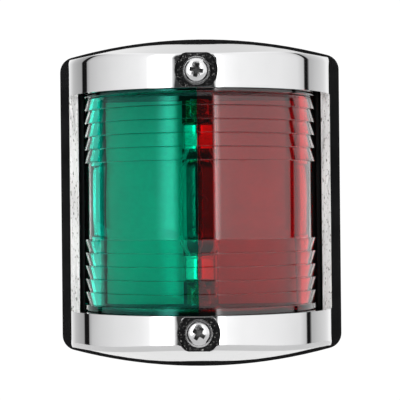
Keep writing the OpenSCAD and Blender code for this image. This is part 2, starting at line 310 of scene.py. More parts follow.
# The share of a noise texture's range that most of its values fill
NOISE_LOW = 0.3
NOISE_HIGH = 0.7
MOULDED_SPECULAR = 0.12
STEEL = (0.62, 0.62, 0.625)
EVEN = (1, 1, 1)


def color_ramp(tree, value, stops):
    """A colour that follows a value through stops of (value, colour)."""
    node = tree.nodes.new("ShaderNodeValToRGB")
    elements = node.color_ramp.elements
    while len(elements) < len(stops):
        elements.new(0.5)
    for element, (place, color) in zip(elements, stops):
        element.position = place
        element.color = (*color, 1)
    tree.links.new(value, node.inputs["Fac"])
    return node.outputs["Color"]


class Material:
    """A node material with short calls for the nodes that the light's finishes share."""

    def __init__(self, name, color, rough, metal=0.0, **sockets):
        self.data = bpy.data.materials.new(name)
        self.data.use_nodes = True
        self.tree = self.data.node_tree
        self.shader = self.tree.nodes["Principled BSDF"]
        self.shader.inputs["Base Color"].default_value = (*color, 1)
        self.shader.inputs["Roughness"].default_value = rough
        self.shader.inputs["Metallic"].default_value = metal
        for key, value in sockets.items():
            self.shader.inputs[key.replace("_", " ")].default_value = value
        self.coords = self.tree.nodes.new("ShaderNodeTexCoord").outputs["Object"]

    def link(self, output, target):
        self.tree.links.new(output, target)

    def noise(self, feature_mm, detail, stretch=EVEN, distortion=0.0):
        """Noise with features of that size, drawn out where a stretch is above 1."""
        mapping = self.tree.nodes.new("ShaderNodeMapping")
        mapping.inputs["Scale"].default_value = [1 / (feature_mm * MM * s) for s in stretch]
        texture = self.tree.nodes.new("ShaderNodeTexNoise")
        texture.inputs["Scale"].default_value = 1.0
        texture.inputs["Detail"].default_value = detail
        texture.inputs["Distortion"].default_value = distortion
        self.link(self.coords, mapping.inputs["Vector"])
        self.link(mapping.outputs["Vector"], texture.inputs["Vector"])
        return texture.outputs["Fac"]

    def color(self, value, stops):
        """The base colour, from stops of (value, colour)."""
        self.link(color_ramp(self.tree, value, stops), self.shader.inputs["Base Color"])

    def tones(self, value, first, second):
        """The base colour, from one tone to another over a texture's usual values."""
        self.color(value, [(NOISE_LOW, first), (NOISE_HIGH, second)])

    def rough(self, value, low, high):
        """The roughness, from low to high over a texture's usual values."""
        node = self.tree.nodes.new("ShaderNodeMapRange")
        node.inputs["From Min"].default_value = NOISE_LOW
        node.inputs["From Max"].default_value = NOISE_HIGH
        node.inputs["To Min"].default_value = low
        node.inputs["To Max"].default_value = high
        self.link(value, node.inputs["Value"])
        self.link(node.outputs["Result"], self.shader.inputs["Roughness"])

    def bump(self, value, height_mm):
        node = self.tree.nodes.new("ShaderNodeBump")
        node.inputs["Strength"].default_value = 1.0
        node.inputs["Distance"].default_value = height_mm * MM
        self.link(value, node.inputs["Height"])
        self.link(node.outputs["Normal"], self.shader.inputs["Normal"])


def shade(base, factor):
    return tuple(min(1.0, c * factor) for c in base)


def metal_finish(name, color, rough, spread, feature_mm, line_stretch, bump_mm, tone=0.08):
    """A metal with drawn or polished lines, slight tone variation and uneven gloss."""
    m = Material(name, color, rough, metal=1.0)
    broad = m.noise(feature_mm * 8, 2)
    fine = m.noise(feature_mm, 4, line_stretch)
    m.color(broad, [(0.25, shade(color, 1 - tone)), (0.75, shade(color, 1 + tone))])
    m.rough(fine, max(0.01, rough - spread), rough + spread)
    m.bump(fine, bump_mm)
    return m


def moulded_finish(name, color, rough, spread, grain_mm, bump_mm):
    """Moulded plastic or rubber with a fine grain and slightly uneven gloss."""
    m = Material(name, color, rough)
    m.shader.inputs["Specular IOR Level"].default_value = MOULDED_SPECULAR
    grain = m.noise(grain_mm, 3)
    cloud = m.noise(9, 3)
    m.tones(cloud, shade(color, 0.82), shade(color, 1.22))
    m.rough(cloud, rough - spread, rough + spread)
    m.bump(grain, bump_mm)
    return m


def polished_steel():
    """The outside of the cover, almost a mirror."""
    m = Material("polished_steel", STEEL, 0.03, metal=1.0)
    cloud = m.noise(14, 3)
    lines = m.noise(0.5, 5, (1, 1, 14))
    m.tones(cloud, shade(STEEL, 0.97), shade(STEEL, 1.03))
    m.rough(lines, 0.012, 0.05)
    m.bump(m.noise(26, 1), 0.045)
    return m


def mottled_steel():
    """The cut edges beside the window: polished over a rough casting, with pits left in it. Its
    colour paints shade in the pits and slopes and a bright reflection on the faces.
    """
    m = Material("mottled_steel", STEEL, 0.1, metal=1.0)
    flecks = m.noise(0.5, 5, (0.7, 1, 2.4), 0.4)
    stain = m.noise(2.2, 4, (0.6, 1, 3.0))
    # Painted shade in the pits and on their slopes, and a painted bright reflection on the faces,
    # which are lighter than the steel
    painted_pit_shade, slope, face = (0.08, 0.074, 0.07), (0.6, 0.58, 0.56), (0.93, 0.92, 0.91)
    m.color(flecks, [(0.3, painted_pit_shade), (0.37, slope), (0.43, face)])
    m.rough(stain, 0.34, 0.6)
    m.bump(m.noise(1.1, 3, (0.6, 1, 3.0)), 0.1)
    return m


def pocket_steel():
    """Dark metal in the screw pockets, with a few bright grains."""
    m = Material("pocket_steel", (0.03, 0.03, 0.03), 0.4, metal=1.0)
    grains = m.noise(0.42, 4, distortion=0.5)
    skin, rise, grain = (0.018, 0.018, 0.019), (0.05, 0.05, 0.05), (0.6, 0.59, 0.57)
    m.color(grains, [(0.5, skin), (0.62, rise), (0.72, grain)])
    m.rough(m.noise(1.2, 3), 0.28, 0.55)
    m.bump(grains, 0.12)
    return m


def cast_steel():
    """The unpolished inside of the cover."""
    m = Material("cast_steel", (0.34, 0.34, 0.345), 0.45, metal=1.0)
    m.tones(m.noise(5, 4), (0.25, 0.25, 0.255), (0.42, 0.42, 0.42))
    m.rough(m.noise(1.5, 3), 0.36, 0.58)
    m.bump(m.noise(0.5, 4), 0.06)
    return m


def lens_plastic(name, color, tint):
    """Clear coloured plastic with soft moulding flow in its tint and its surface."""
    m = Material(name, color, 0.0, Transmission_Weight=1.0, IOR=1.49)
    m.shader.inputs["Specular Tint"].default_value = (*tint, 1)
    flow = m.noise(11, 2, (1, 1, 1.6))
    m.tones(flow, shade(color, 0.93), shade(color, 1.06))
    m.rough(m.noise(3, 4), 0.0, 0.02)
    m.bump(flow, 0.05)
    return m


def clear_glass():
    """The bulb's glass, slightly uneven from blowing."""
    m = Material("bulb_glass_clear", (0.97, 0.98, 0.985), 0.0, Transmission_Weight=1.0, IOR=1.5)
    m.bump(m.noise(5, 2), 0.03)
    m.rough(m.noise(2, 3), 0.0, 0.015)
    return m


def reflector_white():
    """The glossy white plate behind the bulb."""
    m = Material("reflector_white", (0.82, 0.82, 0.79), 0.25)
    m.tones(m.noise(12, 3), (0.76, 0.76, 0.73), (0.86, 0.86, 0.83))
    m.rough(m.noise(1.2, 3), 0.2, 0.34)
    m.bump(m.noise(0.35, 3), 0.01)
    return m


mat_steel = polished_steel()
mat_mottled = mottled_steel()
mat_pocket = pocket_steel()
mat_cast = cast_steel()
mat_screw = metal_finish("screw_steel", (0.6, 0.6, 0.605), 0.2, 0.07, 0.35, EVEN, 0.012)
# Darker steel for the cross recesses of the cover screws: painted shade in the recess
mat_recess_shade = metal_finish("recess_painted_shade", (0.2, 0.2, 0.2), 0.35, 0.1, 0.25, EVEN, 0.03, 0.25)
mat_brass = metal_finish(
    "contact_brass", (0.78, 0.56, 0.24), 0.22, 0.08, 0.2, (6, 6, 1), 0.01, 0.12
)
mat_rivet = metal_finish("rivet_brass", (0.66, 0.45, 0.2), 0.28, 0.08, 0.3, EVEN, 0.02, 0.15)
mat_nickel = metal_finish("cap_nickel", (0.74, 0.72, 0.68), 0.17, 0.07, 0.2, (5, 5, 1), 0.008, 0.08)
mat_solder = metal_finish("solder_tip", (0.6, 0.6, 0.6), 0.35, 0.1, 0.4, EVEN, 0.03, 0.2)
mat_wire = metal_finish("filament_wire", (0.34, 0.34, 0.35), 0.35, 0.1, 0.15, (1, 1, 8), 0.004, 0.2)
mat_washer = metal_finish(
    "washer_steel", (0.68, 0.68, 0.69), 0.25, 0.08, 0.18, (7, 1, 1), 0.01, 0.1
)
mat_base = moulded_finish("base_black", (0.006, 0.006, 0.0065), 0.34, 0.06, 0.22, 0.012)
mat_carrier = moulded_finish("carrier_black", (0.014, 0.014, 0.015), 0.38, 0.08, 0.2, 0.012)
mat_rubber = moulded_finish("seal_rubber", (0.022, 0.022, 0.023), 0.62, 0.08, 0.16, 0.02)
mat_white = reflector_white()
mat_green = lens_plastic("lens_green_clear", (0.0, 0.76, 0.54), (0.14, 1.0, 0.82))
mat_red = lens_plastic("lens_red_clear", (0.72, 0.006, 0.014), (1.0, 0.98, 0.98))
mat_red.shader.inputs["Coat Weight"].default_value = 0.7
mat_glass = clear_glass()


def add_materials(obj, *materials):
    for material in materials:
        obj.data.materials.append(material.data)


def dress(obj, body, slot, material, *nodes):
    """Gives a piece its finish, its body and the CAD nodes that it stands for. The slot is not
    used.
    """
    if material:
        add_materials(obj, material)
    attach(obj, body)
    if nodes:
        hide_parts(*nodes)
    return obj


# ---------------------------------------------------------------- cover

CROWN_R = 3.0
CROWN_ANGLE = math.radians(24)
CROWN_STEPS = 9
EDGE_IN = 0.3
EDGE_DOWN = 0.22
ROUND_STEPS = 148
STRAIGHT_DEPTHS = (COVER_BACK_D, 5.75, 6.8, 7.6)
FIRST_TURN = math.radians(89.2)
TOP_BLEND = 1.6
BLEND_LENGTH = 15.0
OUTER_ROWS = (0, 9, 18, 24.5, 26.4, 27.7)
INNER_ROWS = (29.0, 24.0, 12.0, 0.0)
INNER_CORNER_R = 1.0
BOSS_FRONT_D = 40.2
BOSS_Z = (25, 35.3)
HOLE_BACK_D = 30
# Cutters run out to this depth and this far to each side, well clear of the light
CLEAR = 60
# How near the middle of a face lies to the surface that it belongs to, and where the front starts
SIDE_SKIN = 0.9
END_SKIN = 0.4
FRONT_SKIN_D = 41
ON_PLANE = 0.05


def top_z(x, d):
    """Height of the cover's end face: a slope in the middle and an arch at the sides, blended."""
    ahead = d - COVER_BACK_D
    rise = (COVER_ARCH_R - math.sqrt(COVER_ARCH_R ** 2 - x * x)) * math.hypot(1, ARCH_TAPER)
    arch = COVER_H / 2 - rise - ARCH_TAPER * ahead
    slope = COVER_H / 2 - END_TAPER * ahead
    reach = TOP_BLEND * min(1.0, 0.1 + max(ahead, 0) / BLEND_LENGTH)
    near = max(reach - abs(arch - slope), 0) / reach
    return min(arch, slope) - near * near * reach / 4


def cover_stations(r):
    """The plan outline of the cover as (x, d, outward x, outward d), from left to right."""
    left = [(-r, d, -1.0, 0.0) for d in STRAIGHT_DEPTHS]
    middle = []
    for i in range(ROUND_STEPS + 1):
        a = -FIRST_TURN + 2 * FIRST_TURN * i / ROUND_STEPS
        middle.append((r * math.sin(a), TURN_D + r * math.cos(a), math.sin(a), math.cos(a)))
    right = [(r, d, 1.0, 0.0) for d in reversed(STRAIGHT_DEPTHS)]
    return left + middle + right


def inward(station, offset):
    """The place that far in from the outside of the cover at a station."""
    x, d, nx, nd = station
    return x - nx * offset, max(d - nd * offset, COVER_BACK_D)


def towards_back(x, d, share):
    """The place that share of the way from (x, d) to the middle of the cover's back."""
    return x * (1 - share), d + (COVER_BACK_D - d) * share


def outer_rows(station):
    """The outside of the cover over one station, from the middle height up and in to the back."""
    crown_in = CROWN_R * (1 - math.cos(CROWN_ANGLE))
    crown_up = CROWN_R * math.sin(CROWN_ANGLE)
    x, d = inward(station, crown_in)
    crown_z = top_z(x, d) - EDGE_DOWN
    foot_z = crown_z - crown_up
    rows = [(0, z) for z in OUTER_ROWS]
    rows += [(0, OUTER_ROWS[-1] + (foot_z - OUTER_ROWS[-1]) * t) for t in (0.35, 0.7)]
    for i in range(CROWN_STEPS + 1):
        a = CROWN_ANGLE * i / CROWN_STEPS
        rows.append((CROWN_R * (1 - math.cos(a)), foot_z + CROWN_R * math.sin(a)))
    points = [(*inward(station, offset), z) for offset, z in rows]
    for t in (0.3, 0.6, 1.0):
        offset = crown_in + EDGE_IN * t
        px, pd = inward(station, offset)
        points.append((px, pd, top_z(px, pd) - EDGE_DOWN * (1 - t) ** 2 * 0.6))
    ex, ed, _ = points[-1]
    for t in (0.03, 0.08, 0.16, 0.27, 0.4, 0.55, 0.7, 0.85):
        px, pd = towards_back(ex, ed, t)
        points.append((px, pd, top_z(px, pd)))
    return points


def inner_rows(station):
    """The inside of the cover over one station, from the back in the middle out and down."""
    points = []
    ex, ed = inward(station, COVER_WALL + INNER_CORNER_R)
    for t in (0.7, 0.4, 0.15, 0.0):
        px, pd = towards_back(ex, ed, t)
        points.append((px, pd, top_z(px, pd) - COVER_END_WALL))
    corner_z = points[-1][2] - INNER_CORNER_R
    for degrees in (60, 30, 0):
        a = math.radians(degrees)
        px, pd = inward(station, COVER_WALL + INNER_CORNER_R - INNER_CORNER_R * math.cos(a))
        points.append((px, pd, corner_z + INNER_CORNER_R * math.sin(a)))
    wx, wd = inward(station, COVER_WALL)
    points += [(wx, wd, z) for z in INNER_ROWS]
    return points


def cover_dome():
    """The whole cover before its window and pockets are cut, as one closed mesh."""
    pole_z = top_z(0, COVER_BACK_D)
    poles = [(0.0, COVER_BACK_D, pole_z), (0.0, COVER_BACK_D, pole_z - COVER_END_WALL)]
    stations = cover_stations(COVER_R)
    columns = [outer_rows(s) + poles + inner_rows(s) for s in stations]
    between_poles = len(outer_rows(stations[0]))
    verts, index, faces = [], {}, []

    def vertex(p):
        key = tuple(round(c, 5) for c in p)
        if key not in index:
            index[key] = len(verts)
            verts.append(point(*p))
        return index[key]

    for side in (1, -1):
        grid = [[vertex((x, d, side * z)) for x, d, z in column] for column in columns]
        faces += grid_faces(grid, between_poles)
        for column in (grid[0], grid[-1]):
            add_face(faces, *column)
    obj = make_object("cover_shell", verts, faces)
    clean_mesh(obj)
    return obj


def box_object(name, low, high):
    """A closed cutter between two corners given in millimetres as (x, depth, z)."""
    outline = [(low[0], low[2]), (high[0], low[2]), (high[0], high[2]), (low[0], high[2])]
    return prism(name, outline, low[1], high[1])


def screw_prisms(name, r, back_d, front_d, count, low=-math.inf, high=math.inf):
    """Round prisms at both cover screws, as cutters or bosses, cut straight at low and high."""
    outline = circle_outline(0, SCREW_Z, r, count, low, high)
    pair = [prism("part", [(x, side * z) for x, z in outline], back_d, front_d) for side in (1, -1)]
    return join(name, pair)


def build_cover():
    cover = cover_dome()
    bosses = screw_prisms("bosses", BOSS_R, POCKET_FLOOR_D - 1, BOSS_FRONT_D, 64, *BOSS_Z)
    apply_boolean(cover, bosses, "UNION")
    window = box_object("window", (-CLEAR, RIM_D, -WINDOW_HALF), (CLEAR, CLEAR, WINDOW_HALF))
    apply_boolean(cover, window, "DIFFERENCE")
    pockets = screw_prisms("pockets", POCKET_R, POCKET_FLOOR_D, CLEAR, 72, *POCKET_Z)
    apply_boolean(cover, pockets, "DIFFERENCE")
    holes = screw_prisms("holes", POCKET_HOLE_R, HOLE_BACK_D, CLEAR, 40)
    apply_boolean(cover, holes, "DIFFERENCE")
    clean_mesh(cover, merge_mm=0.02)
    return cover


def paint_cover(cover):
    """Polished outside, mottled window edges, dark pockets and a rough casting inside."""
    add_materials(cover, mat_steel, mat_mottled, mat_pocket, mat_cast)
    for face in cover.data.polygons:
        x, d, z = face.center.x / MM, -face.center.y / MM, abs(face.center.z / MM)
        reach = math.hypot(x, max(d - TURN_D, 0))
        on_skin = reach > COVER_R - SIDE_SKIN or z > top_z(x, d) - END_SKIN
        faces_front = -face.normal.y > 0.9
        by_screw = math.hypot(x, z - SCREW_Z) < POCKET_R + ON_PLANE and d > POCKET_FLOOR_D - 0.5
        on_front = on_skin and d > FRONT_SKIN_D
        if abs(d - RIM_D) < ON_PLANE and faces_front and z < WINDOW_HALF:
            face.material_index = 1
        elif by_screw and not on_front:
            face.material_index = 2
        elif not on_skin and abs(z - WINDOW_HALF) >= ON_PLANE:
            face.material_index = 3


cover = build_cover()
paint_cover(cover)
edge_round(cover, 0.2, angle=40)
dress(cover, "cover_body", "polished_steel", None, "cover")


# ---------------------------------------------------------------- lens

JOINT_GAP = 0.035
TIP_R = 0.12
LENS_CORNER_R = 0.8
LENS_STEPS = 84


def rounded_corner(before, corner, after, r, steps=3):
    """A corner of a profile as a short curve that starts about r before it."""
    p, a, b = Vector(corner), Vector(before) - Vector(corner), Vector(after) - Vector(corner)
    reach = min(r, a.length * 0.45, b.length * 0.45)
    start, end = p + a.normalized() * reach, p + b.normalized() * reach
    points = []
    for i in range(steps + 1):
        t = i / steps
        points.append(tuple((1 - t) ** 2 * start + 2 * t * (1 - t) * p + t * t * end))
    return points


def lens_profile():
    """The outer profile of the lens from its top edge down, as (radius, height)."""
    corners = []
    for side in (1, -1):
        half = [(LENS_LIP_R, side * LENS_HALF_H)]
        for k in range(RING_COUNT, -1, -1):
            z = OPTIC_Z + side * (SMOOTH_H / 2 + k * RING_PITCH)
            tip = LENS_LIP_R if k == RING_COUNT else LENS_R + RING_STEP
            half += [(tip, z), (LENS_R, z)]
        half = half[:-2] + [(LENS_R + RING_STEP, half[-1][1]), half[-1]]
        corners += half if side > 0 else half[::-1]
    points = []
    for i, corner in enumerate(corners):
        if i in (0, len(corners) - 1):
            points.append(corner)
            continue
        points += rounded_corner(corners[i - 1], corner, corners[i + 1], TIP_R)
    return points


def lens_point(r, z, angle, side):
    """A point on the lens, with the rearmost ones held on its flat back."""
    if angle is None:
        behind = TURN_D - LENS_BACK_D
        return side * math.sqrt(r * r - behind * behind), LENS_BACK_D, z
    return side * (JOINT_GAP + r * math.sin(angle)), TURN_D + r * math.cos(angle), z


def inner_profile():
    """The inner profile from the bottom up, with a rounded corner at each end."""
    r, h, corner = LENS_INNER_R, LENS_HALF_H - LENS_ROOF, LENS_CORNER_R
    lower = arc(r - corner, corner - h, corner, -90, 0, 4)
    return lower + arc(r - corner, h - corner, corner, 0, 90, 4)


def build_lens(name, side):
    """One half of the lens: a closed shell from the joint round to the flat back."""
    last = math.pi / 2 + math.asin((TURN_D - LENS_BACK_D) / LENS_R)
    angles = [last * i / LENS_STEPS for i in range(LENS_STEPS)] + [None]
    outer, inner = lens_profile(), inner_profile()
    roof, ceiling = LENS_HALF_H, LENS_HALF_H - LENS_ROOF
    verts, grid = [], []

    def vertex(p):
        verts.append(point(*p))
        return len(verts) - 1

    hub = side * JOINT_GAP
    poles = [vertex((hub, LENS_BACK_D, z)) for z in (roof, -roof, -ceiling, ceiling)]
    for angle in angles:
        column = [poles[0]] + [vertex(lens_point(r, z, angle, side)) for r, z in outer]
        column += [poles[1], poles[2]]
        column += [vertex(lens_point(r, z, angle, side)) for r, z in inner] + [poles[3]]
        grid.append(column)
    faces = grid_faces(grid, len(outer) + 1) + [grid[0], grid[-1]]
    obj = make_object(name, verts, faces)
    clean_mesh(obj, merge_mm=0.0005)
    smooth(obj, 25)
    return obj


lens_green = build_lens("lens_green_shell", -1)
dress(lens_green, "lens_body", "lens_green_clear", mat_green, "lens_green")
lens_red = build_lens("lens_red_shell", 1)
dress(lens_red, "lens_body", "lens_red_clear", mat_red, "lens_red")


# ---------------------------------------------------------------- screws

HEAD_R = 3.4
HEAD_H = 2.1
HEAD_SEAT_D = 39.3
THREAD_R = 1.75
THREAD_DEPTH = 0.28
THREAD_PITCH = 1.3
SCREW_LEN = 27.0
CROSS_ARM = 1.85
CROSS_HALF_W = 0.46
CROSS_DEPTH = 1.6
RECESS_R = 2.25
# The flank of the thread as a share of its pitch, and the rows of points along one pitch
THREAD_FLANK = 0.34
THREAD_ROWS = 9
THREAD_IN_HEAD = 0.4
SCREW_POINT = 2.2
SCREW_POINT_SHARE = 0.45


def thread_radius(turn_share, h, length):
    """Radius of a shank at that share of a turn: plain under the head, tapered at its point."""
    phase = (h / THREAD_PITCH - turn_share) % 1.0
    crest = max(0.0, 1 - abs(phase - 0.5) / THREAD_FLANK)
    from_point = (length + h) / SCREW_POINT
    taper = min(1.0, SCREW_POINT_SHARE + from_point * (1 - SCREW_POINT_SHARE))
    start = min(1.0, max(0.0, (-h - 0.6) / 0.8))
    return (THREAD_R - THREAD_DEPTH * (1 - crest) * start) * taper


def build_thread(name, place, length, steps=28):
    """A threaded shank that runs back from the seat of a screw's head to its blunt point."""
    rows = int(length / THREAD_PITCH * THREAD_ROWS)
    verts = []
    for i in range(rows + 1):
        h = THREAD_IN_HEAD - (length + THREAD_IN_HEAD) * i / rows
        for k in range(steps):
            a = TAU * k / steps
            r = thread_radius(k / steps, h, length) if h < 0 else THREAD_R
            verts.append(place + Vector((r * math.cos(a), -h, r * math.sin(a))) * MM)
    ends = [range(steps), range(rows * steps, (rows + 1) * steps)]
    obj = make_object(name, verts, side_faces(rows, steps) + ends)
    clean_mesh(obj, merge_mm=0.0005)
    return obj


def cross_cutter(place, turn):
    """A cross recess whose wings narrow and shorten towards their bottom."""
    a = math.radians(turn)
    along = Vector((math.cos(a), 0, math.sin(a)))
    across = Vector((-math.sin(a), 0, math.cos(a)))
    verts = []
    for arm, half, h in (
        (CROSS_ARM + 0.15, CROSS_HALF_W + 0.12, HEAD_H + 0.5),
        (CROSS_ARM * 0.5, CROSS_HALF_W * 0.6, HEAD_H - CROSS_DEPTH),
    ):
        wing = ((arm, -half), (arm, half), (half, half))
        for quarter in range(4):
            for u, v in wing:
                for _ in range(quarter):
                    u, v = -v, u
                verts.append(place + (along * u + across * v + Vector((0, -h, 0))) * MM)
    count = len(verts) // 2
    ends = [range(count), range(count, 2 * count)]
    cutter = make_object("cross", verts, ends + side_faces(1, count))
    clean_mesh(cutter)
    return cutter


def build_cover_screw(name, side, turn):
    """A pan head with a small ring edge and a cross recess, on its threaded shank. The recess takes
    a darker steel: painted shade.
    """
    place = point(0, HEAD_SEAT_D, side * SCREW_Z)
    profile = [(0, 0), (HEAD_R - 0.1, 0), (HEAD_R, 0.08), (HEAD_R, 0.5), (HEAD_R - 0.08, 0.58)]
    profile += [(HEAD_R - 0.36, 0.6), (HEAD_R - 0.42, 0.66), (HEAD_R - 0.46, 0.9)]
    profile += [(HEAD_R - 0.6, 1.24), (HEAD_R - 0.85, 1.52), (HEAD_R - 1.15, 1.72)]
    profile += [(1.9, 1.84), (1.5, 1.94), (0.8, 2.06), (0, HEAD_H)]
    head = lathe("head", profile, place, "-Y", 72)
    apply_boolean(head, cross_cutter(place, turn), "DIFFERENCE")
    clean_mesh(head, merge_mm=0.005)
    add_materials(head, mat_screw, mat_recess_shade)
    # Faces inside the cross recess take the darker steel, which is painted shade
    for face in head.data.polygons:
        offset = face.center / MM - place / MM
        height = -offset.y
        within = math.hypot(offset.x, offset.z) < RECESS_R
        if within and height > 0.3 and (height < 1.2 or -face.normal.y < 0.8):
            face.material_index = 1
    screw = join(name, [head, build_thread("thread", place, SCREW_LEN)])
    add_materials(screw, mat_screw, mat_recess_shade)
    smooth(screw, 38)
    return screw


SCREWS = (("upper", 1, -10), ("lower", -1, -32))
for end, side, turn in SCREWS:
    screw = build_cover_screw(f"cover_screw_{end}_turned", side, turn)
    dress(screw, f"{end}_cover_screw", "screw_steel", None, f"cover_screw_{end}")
    seal = refined(f"screw_seal_{end}", f"screw_seal_{end}_ring", 0.12)
    dress(seal, "cover_body", "gasket_rubber", mat_rubber, f"screw_seal_{end}")


# ---------------------------------------------------------------- bulb

CAP_R = 4.25
CAP_HOLE_R = 3.78
CAP_START = 12.5
CAP_INNER = 3.4
CAP_END = 19.3
CAP_ROUND = 0.9
TIP_BALL_R = 1.1
TIP_BALL_H = 1.2
GLASS_R = 5.0
GLASS_T = 0.55
GLASS_STRAIGHT = 9.0
GLASS_SHOULDER = 3.2
GLASS_END = 14.5
NECK_R = 3.6
FILAMENT_HALF = 8.0
FILAMENT_COILS = 46
FILAMENT_COIL_R = 0.42
FILAMENT_SAG = 0.5


def glass_profile(inset):
    """The half profile of the glass from its middle to its neck, as (radius, height)."""
    points = [(GLASS_R - inset, h) for h in (0, 5, GLASS_STRAIGHT)]
    for i in range(1, 9):
        t = i / 8
        ease = t * t * (3 - 2 * t)
        r = GLASS_R + (NECK_R - GLASS_R) * ease
        points.append((r - inset, GLASS_STRAIGHT + GLASS_SHOULDER * t))
    return points + [(NECK_R - inset, GLASS_END - inset)]


def cap_profile():
    """The half profile of a cap: its grooved side, its rounded end and its solder tip."""
    side = (
        (CAP_HOLE_R, 0), (CAP_R - 0.1, -0.02), (CAP_R, 0.12), (CAP_R, 0.5),
        (CAP_R - 0.12, 0.75), (CAP_R - 0.12, 1.05), (CAP_R, 1.3),
    )
    profile = [(r, CAP_START + h) for r, h in side]
    profile += arc(CAP_R - CAP_ROUND, CAP_END - CAP_ROUND, CAP_ROUND, 0, 84, 7)
    profile += [(1.6, CAP_END), (1.25, CAP_END + 0.06)]
    profile += arc(0, CAP_END + 0.1, TIP_BALL_R, 8, 82, 6)[:-1]
    profile += [(0, CAP_END + TIP_BALL_H), (0, CAP_START + CAP_INNER)]
    return profile + [(CAP_HOLE_R, CAP_START + CAP_INNER), (CAP_HOLE_R, CAP_START)]


def build_bulb():
    """Hollow glass, whose inner shell faces inwards, between two caps."""
    centre = point(0, BULB_D, 0)
    shells = []
    for inset in (0, GLASS_T):
        half, end_h = glass_profile(inset), GLASS_END - inset
        loop = [(0, -end_h)] + [(r, -h) for r, h in half[::-1]] + half[1:] + [(0, end_h)]
        shells.append(lathe("shell", loop, centre))
    glass = join("bulb_glass_blown", shells)
    bm = bmesh.new()
    bm.from_mesh(glass.data)
    outer_count = len(bm.faces) // 2
    bm.faces.ensure_lookup_table()
    bmesh.ops.reverse_faces(bm, faces=bm.faces[outer_count:])
    bm.to_mesh(glass.data)
    bm.free()
    smooth(glass, 40)
    dress(glass, "bulb", "bulb_clear", mat_glass, "bulb_glass")
    for end, side in (("upper", 1), ("lower", -1)):
        profile = [(r, side * h) for r, h in cap_profile()]
        cap = lathe(f"bulb_cap_{end}_spun", profile, centre)
        add_materials(cap, mat_nickel, mat_solder)
        for face in cap.data.polygons:
            if abs(face.center.z) > (CAP_END + 0.08) * MM:
                face.material_index = 1
        smooth(cap, 35)
        dress(cap, "bulb", "cap_nickel", None, f"bulb_cap_{end}")


def build_filament():
    """A fine coil between the hooks of two stiff leads."""
    path = []
    count = FILAMENT_COILS * 10
    for i in range(count + 1):
        t = i / count
        a = TAU * FILAMENT_COILS * t
        x, sideways = FILAMENT_COIL_R * math.cos(a), FILAMENT_COIL_R * math.sin(a)
        sag = FILAMENT_SAG * (1 - (2 * t - 1) ** 2)
        path.append(point(x, BULB_D + sag + sideways, (2 * t - 1) * FILAMENT_HALF))
    dress(tube("filament_coil", path, 0.09, 6), "bulb", "filament_wire", mat_wire, "filament")
    leads = []
    for side in (1, -1):
        route = [(0, 0, 13.9), (0, 0, 11), (0.5, 0.1, 9.6)]
        route += [(0.45, 0.1, 8.6), (0.0, 0.1, 7.9), (-0.3, 0.3, 7.6)]
        points = [point(x, BULB_D + d, side * z) for x, d, z in route]
        leads.append(tube("lead", smooth_path(points, 5), 0.2, 8))
    dress(join("filament_lead_pair", leads), "bulb", "filament_wire", mat_wire, "filament_leads")


build_bulb()
build_filament()


# ---------------------------------------------------------------- pieces kept from the CAD

# Node, name, body, slot, finish and the radius of its rounded edges

KEPT = (
    ("base_plate", "base_plate_moulded", "housing", "base_black", mat_base, 0.45),
    ("mounting_gasket", "mounting_gasket_sheet", "housing", "gasket_rubber", mat_rubber, 0.25),
    ("lens_gasket", "lens_gasket_frame", "housing", "gasket_rubber", mat_rubber, 0.2),
    ("reflector", "reflector_plate", "housing", "reflector_white", mat_white, 0.15),
    ("contact_carrier", "contact_carrier_bar", "housing", "base_black", mat_carrier, 0.25),
    ("terminal_bracket_upper", "terminal_bracket_upper_strip", "housing",
     "contact_brass", mat_brass, 0.1),
    ("terminal_bracket_lower", "terminal_bracket_lower_strip", "housing",
     "contact_brass", mat_brass, 0.1),
    ("bracket_rivets", "bracket_rivet_pair", "housing", "contact_brass", mat_rivet, 0.18),
    ("blade_rivet_upper", "blade_rivet_upper_head", "housing", "contact_brass", mat_rivet, 0.18),
    ("blade_rivet_lower", "blade_rivet_lower_head", "housing", "contact_brass", mat_rivet, 0.18),
    ("terminal_washers", "terminal_washer_pair", "housing", "screw_steel", mat_washer, 0.1),
    ("contact_blade_upper", "contact_blade_upper_spring", "upper_blade",
     "contact_brass", mat_brass, 0.06),
    ("contact_blade_lower", "contact_blade_lower_spring", "lower_blade",
     "contact_brass", mat_brass, 0.06),
    ("terminal_screw_upper", "terminal_screw_upper_slotted", "upper_terminal_screw",
     "contact_brass", mat_brass, 0.16),
    ("terminal_screw_lower", "terminal_screw_lower_slotted", "lower_terminal_screw",
     "contact_brass", mat_brass, 0.16),
)
for node, name, body, slot, material, edge in KEPT:
    dress(refined(node, name, edge), body, slot, material, node)


GROMMET_R = 3.1
GROMMET_BORE_R = 2.1
GROMMET_FLANGE_R = 4.2
GROMMET_START_D = 0.3
GROMMET_SHOULDER_D = 8.0
GROMMET_FRONT_D = 9.0
# The skin across the bore is a dark sheet standing in for shade, so that no light shows through
SKIN_D = GROMMET_START_D + 3.0
SKIN_T = 0.5


